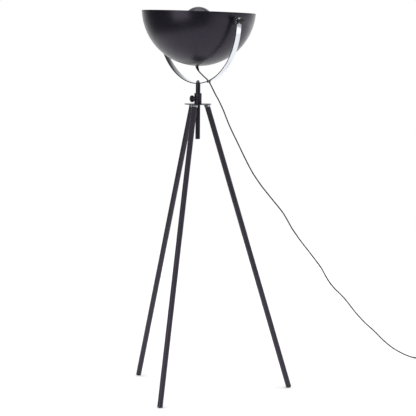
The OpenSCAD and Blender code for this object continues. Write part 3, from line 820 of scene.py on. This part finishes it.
def make_plug():
    """The moulded two-pin plug: a flat body that narrows into a ribbed neck round the lead."""
    place = Matrix.Translation(POLE + Vector((*PLUG_AT, PLUG_UP)) * MM) @ Matrix.Rotation(math.pi / 2, 4, "Z")
    half = PLUG_W / 2
    sections = [(-PLUG_L, 16.6, 5.9, 5), (-PLUG_L + 0.9, half, PLUG_UP, 5), (-9, half, PLUG_UP, 5),
                (-4, 16.4, 6.8, 4.4), (0, 13.2, 6.6, 3.6), (3, 9.4, 6.2, 3), (6, 7, 5.8, 2.4)]
    for k in range(4):
        x = 7 + 4 * k
        wide = 5.9 - 0.45 * k
        sections += [(x, wide, wide - 0.2, 2), (x + 2.2, wide - 0.2, wide - 0.4, 2),
                     (x + 2.6, wide - 0.9, wide - 1.0, 2), (x + 3.7, wide - 1.0, wide - 1.1, 2)]
    sections.append((23, 3.4, 3.4, 2))
    rings = []
    for x, wide, high, power in sections:
        ring = []
        for k in range(48):
            c, s = math.cos(math.tau * k / 48), math.sin(math.tau * k / 48)
            side = math.copysign(wide * abs(c) ** (2 / power), c)
            up = math.copysign(high * abs(s) ** (2 / power), s)
            ring.append((x, side, up))
        rings.append(placed(place, ring))
    finish_piece(loft("plug_shell", rings, 40), "black_plastic", "tripod", "plug_body")


# ---------------------------------------------------------------- light and floor
def make_floor():
    """The studio's plain white floor."""
    m = Nodes("floor")
    m.colours(m.noise(1.5, 3), (0.90, 0.90, 0.90), (0.92, 0.92, 0.92))
    m.set(Roughness=0.9, Specular_IOR_Level=0.1)
    mesh = bpy.data.meshes.new("floor")
    rim = [math.tau * k / 96 for k in range(96)]
    azimuth = math.radians(CAMERA_AZIMUTH)
    behind = Vector((-math.sin(azimuth), math.cos(azimuth), 0))
    right = Vector((math.cos(azimuth), math.sin(azimuth), 0))
    centre = POLE + FLOOR_SHIFT * (behind + right)
    mesh.from_pydata([centre + FLOOR_R * Vector((math.cos(a), math.sin(a), 0)) for a in rim], [], [range(96)])
    mesh.materials.append(m.material)
    floor = bpy.data.objects.new("floor", mesh)
    bpy.context.scene.collection.objects.link(floor)


def add_light(name, where, size, power, aim):
    data = bpy.data.lights.new(name, "AREA")
    data.shape = "RECTANGLE"
    data.size, data.size_y = size
    data.energy = power
    light = bpy.data.objects.new(name, data)
    light.location = where
    light.rotation_mode = "QUATERNION"
    light.rotation_quaternion = (Vector(where) - Vector(aim)).to_track_quat("Z", "Y")
    bpy.context.scene.collection.objects.link(light)


def make_world():
    """A white studio: the backdrop, the ceiling, the right wall and the floor far to the right glow, and the
    room behind the camera is dim. The camera itself sees plain white."""
    world = bpy.data.worlds.new("studio")
    world.use_nodes = True
    tree = world.node_tree
    background = tree.nodes["Background"]
    background.inputs["Color"].default_value = (1, 1, 1, 1)
    way = tree.nodes.new("ShaderNodeTexCoord").outputs["Generated"]

    def rise(axis, start, end, top):
        """From 0 to top where the way's part along the axis goes from start to end."""
        dot = tree.nodes.new("ShaderNodeVectorMath")
        dot.operation = "DOT_PRODUCT"
        dot.inputs[1].default_value = axis
        fade = tree.nodes.new("ShaderNodeMapRange")
        fade.interpolation_type = "SMOOTHSTEP"
        for key, value in {"From Min": start, "From Max": end, "To Min": 0.0, "To Max": top}.items():
            fade.inputs[key].default_value = value
        tree.links.new(way, dot.inputs[0])
        tree.links.new(dot.outputs["Value"], fade.inputs["Value"])
        return fade.outputs["Result"]

    def join(operation, first, second):
        node = tree.nodes.new("ShaderNodeMath")
        node.operation = operation
        tree.links.new(first, node.inputs[0])
        tree.links.new(second, node.inputs[1])
        return node.outputs["Value"]

    azimuth, pitch = math.radians(BACKDROP_AZIMUTH), math.radians(BACKDROP_PITCH)
    behind = (-math.sin(azimuth) * math.cos(pitch), math.cos(azimuth) * math.cos(pitch), math.sin(pitch))
    turn = math.radians(CAMERA_AZIMUTH)
    right = (math.cos(turn), math.sin(turn), 0)
    backdrop = rise(behind, 0.35, 1.0, BACKDROP_GLOW - ROOM_GLOW)
    glow = join("ADD", backdrop, rise((0, 0, 1), 0.25, 0.5, SKY_GLOW))
    far_floor = join("MULTIPLY", rise(right, 0.2, 0.6, 1.0), rise((0, 0, -1), 0.13, 0.19, FAR_FLOOR_GLOW))
    glow = join("ADD", glow, join("ADD", far_floor, rise(SIDE_WAY, 0.6, 1.0, SIDE_GLOW)))
    room = tree.nodes.new("ShaderNodeValue")
    room.outputs["Value"].default_value = ROOM_GLOW
    glow = join("ADD", glow, room.outputs["Value"])
    mix = tree.nodes.new("ShaderNodeMix")
    mix.inputs["B"].default_value = 1.0
    tree.links.new(tree.nodes.new("ShaderNodeLightPath").outputs["Is Camera Ray"], mix.inputs["Factor"])
    tree.links.new(glow, mix.inputs["A"])
    tree.links.new(mix.outputs["Result"], background.inputs["Strength"])
    bpy.context.scene.world = world


def make_light():
    """The world, a soft sun from above and a softbox on each side of the camera."""
    make_world()
    bpy.context.scene.view_settings.view_transform = "Standard"
    sun = bpy.data.lights.new("overhead", "SUN")
    sun.energy = OVERHEAD
    sun.angle = math.radians(OVERHEAD_SPREAD)
    top = bpy.data.objects.new("overhead", sun)
    bpy.context.scene.collection.objects.link(top)
    aim = POLE + Vector((0, 0, SOFTBOX_UP))
    for name, turn, wide, radiance in SOFTBOXES:
        a = math.radians(CAMERA_AZIMUTH + turn)
        where = aim + Vector((math.sin(a), -math.cos(a), 0)) * SOFTBOX_AWAY
        add_light(name, where, (wide, SOFTBOX_H), radiance * math.pi * wide * SOFTBOX_H, aim)


make_camera()
make_lead()
dress_cad_nodes()
make_bowl()
make_shield()
make_pivots()
make_boot()
make_yoke()
make_grommet()
make_hub()
make_acorn()
make_switch()
make_coil_tie()
make_plug()
make_floor()
make_light()
